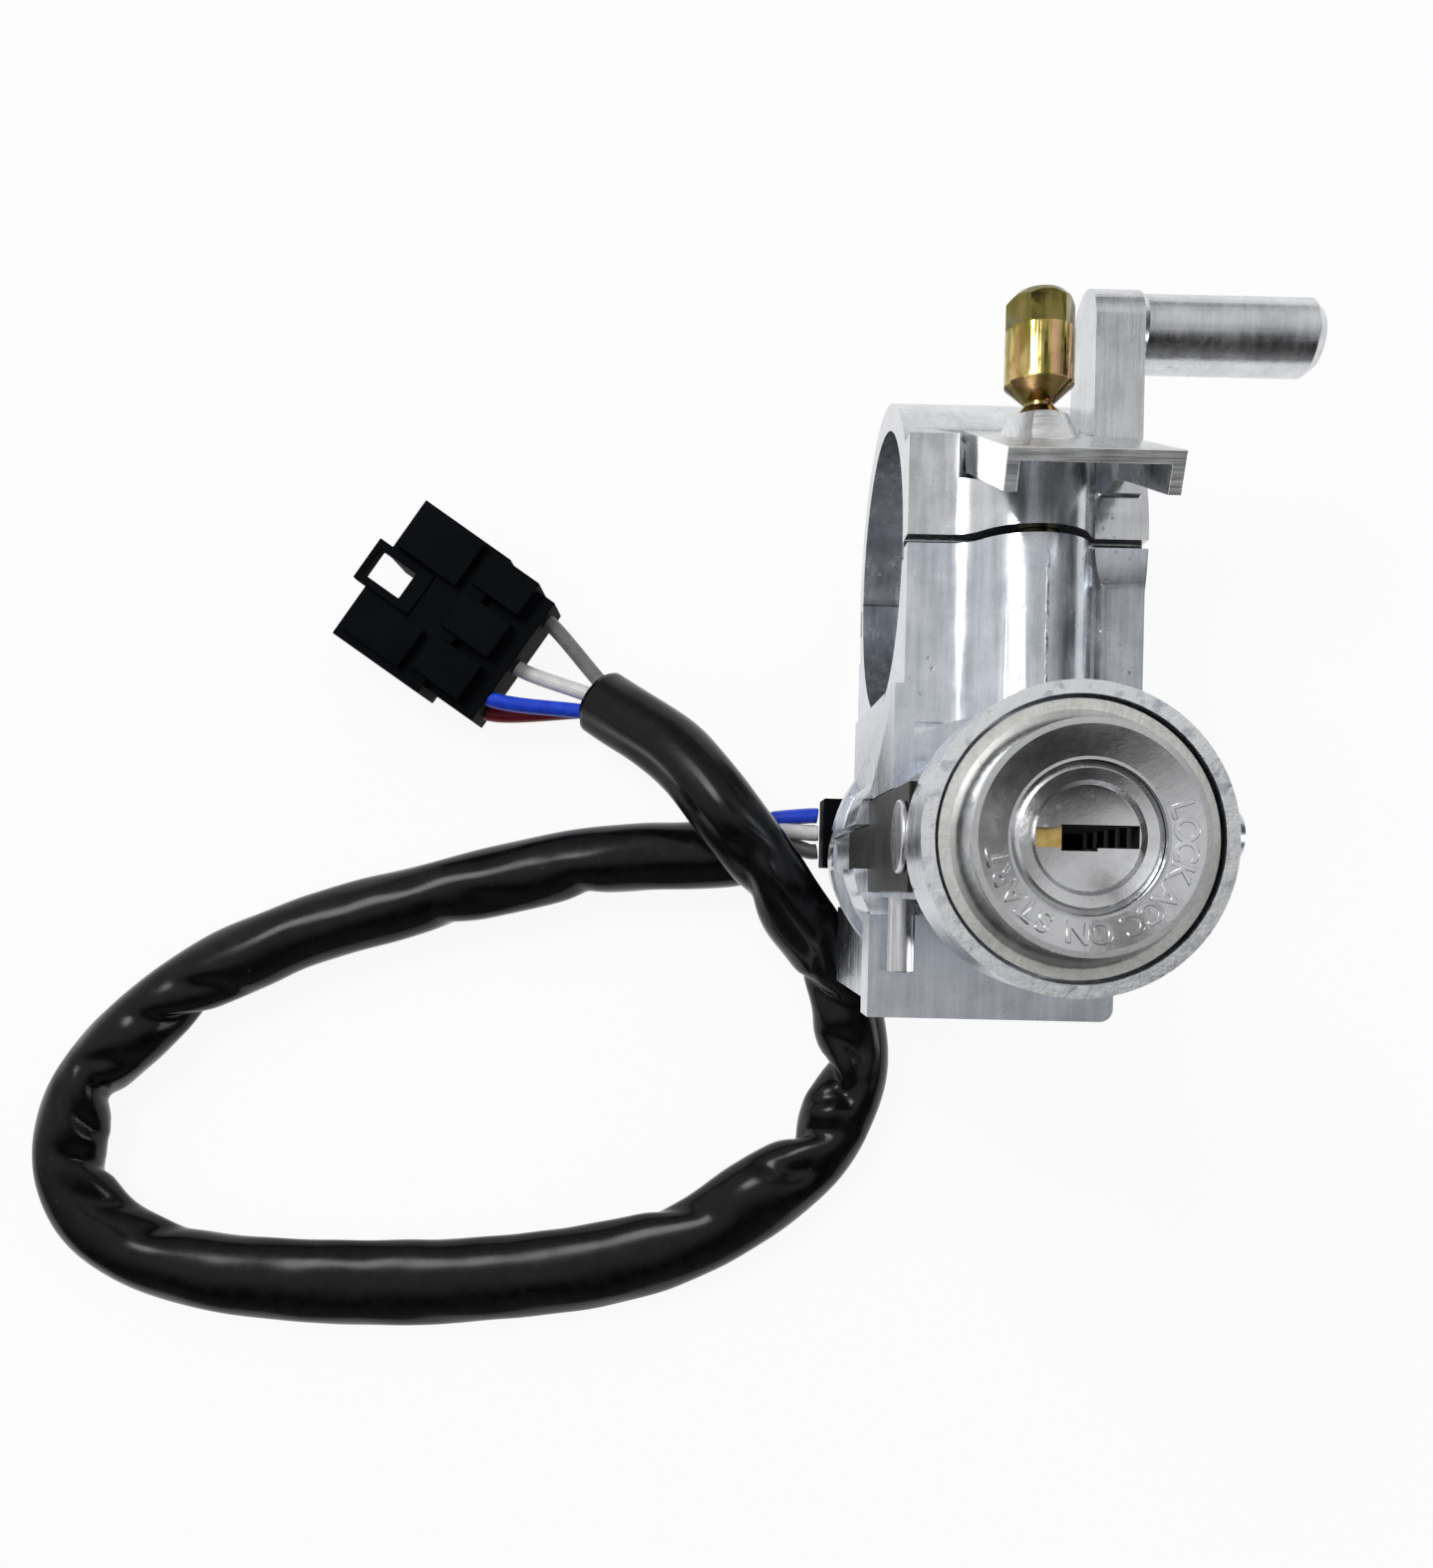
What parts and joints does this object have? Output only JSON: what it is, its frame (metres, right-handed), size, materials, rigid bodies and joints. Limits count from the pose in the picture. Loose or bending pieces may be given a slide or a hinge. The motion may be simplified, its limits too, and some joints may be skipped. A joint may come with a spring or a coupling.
{
  "type": "ignition switch",
  "caption": "Ignition switch with a key cylinder, steering lock bolt, split column clamp, shear bolt bracket and a sheathed wiring lead with a plug connector.",
  "frame": {"origin": "on the axis of the steering column bore, half way along the clamp", "axes": "+X along the column bore toward the arm's pin, +Y from the key cylinder up to the clamp cap, +Z along the key axis out of the keyway"},
  "size_m": [0.2042, 0.166, 0.1188],
  "materials": {
    "zinc_body": "die cast, satin",
    "zinc_cap": "die cast, satin",
    "bright_steel": "plated, bright",
    "dark_steel": "brushed",
    "yellow_zinc": "yellow chromate plated steel",
    "bezel_zinc": "fine cast, satin",
    "brass": "plain",
    "black_plastic": "satin",
    "pale_plastic": "plain",
    "sheath_vinyl": "soft black vinyl",
    "blue_vinyl": "insulation",
    "white_vinyl": "insulation",
    "red_vinyl": "insulation",
    "grey_vinyl": "insulation"
  },
  "bodies": {
    "lock": {"lock_housing": "zinc_body", "clamp_cap": "zinc_cap", "clamp_bracket": "bright_steel", "shear_bolt": "yellow_zinc", "cylinder_case": "bezel_zinc", "side_plate": "dark_steel", "side_rivet": "bright_steel", "roll_pin": "bright_steel", "bolt_spring": "dark_steel", "spring_cap": "bright_steel", "switch_case": "black_plastic", "fixed_contacts": "brass", "switch_cover": "black_plastic", "switch_screws": "bright_steel", "harness_sheath": "sheath_vinyl", "wire_blue": "blue_vinyl", "wire_white": "white_vinyl", "wire_red": "red_vinyl", "wire_grey": "grey_vinyl", "connector_housing": "black_plastic", "connector_terminals": "brass"},
    "plug": {"key_plug": "bezel_zinc", "cam_shaft": "zinc_body", "release_cam": "bright_steel", "shaft_clip": "dark_steel", "switch_rotor": "pale_plastic", "contact_bridge": "brass"},
    "bolt": {"lock_bolt": "bright_steel"},
    "wafer_a": {"wafer_1": "brass"},
    "wafer_b": {"wafer_2": "brass"},
    "wafer_c": {"wafer_3": "brass"},
    "wafer_d": {"wafer_4": "brass"},
    "wafer_e": {"wafer_5": "brass"}
  },
  "joints": [
    {"name": "plug_turn", "type": "hinge", "parent": "lock", "child": "plug", "pos_m": [-0.0103, -0.0459, 0], "axis": [0, 0, 1], "range_deg": [-144, 0]},
    {"name": "lock_bolt_slide", "type": "slide", "parent": "lock", "child": "bolt", "axis": [0, 1, 0], "range_m": [0, 0.006], "deforming": ["bolt_spring"]},
    {"name": "wafer_1_slide", "type": "slide", "parent": "plug", "child": "wafer_a", "axis": [1, 0, 0], "range_m": [0, 0.0012], "stiffness_N_per_m": 60},
    {"name": "wafer_2_slide", "type": "slide", "parent": "plug", "child": "wafer_b", "axis": [1, 0, 0], "range_m": [0, 0.0012], "stiffness_N_per_m": 60},
    {"name": "wafer_3_slide", "type": "slide", "parent": "plug", "child": "wafer_c", "axis": [1, 0, 0], "range_m": [0, 0.0012], "stiffness_N_per_m": 60},
    {"name": "wafer_4_slide", "type": "slide", "parent": "plug", "child": "wafer_d", "axis": [1, 0, 0], "range_m": [0, 0.0012], "stiffness_N_per_m": 60},
    {"name": "wafer_5_slide", "type": "slide", "parent": "plug", "child": "wafer_e", "axis": [1, 0, 0], "range_m": [0, 0.0012], "stiffness_N_per_m": 60}
  ]
}
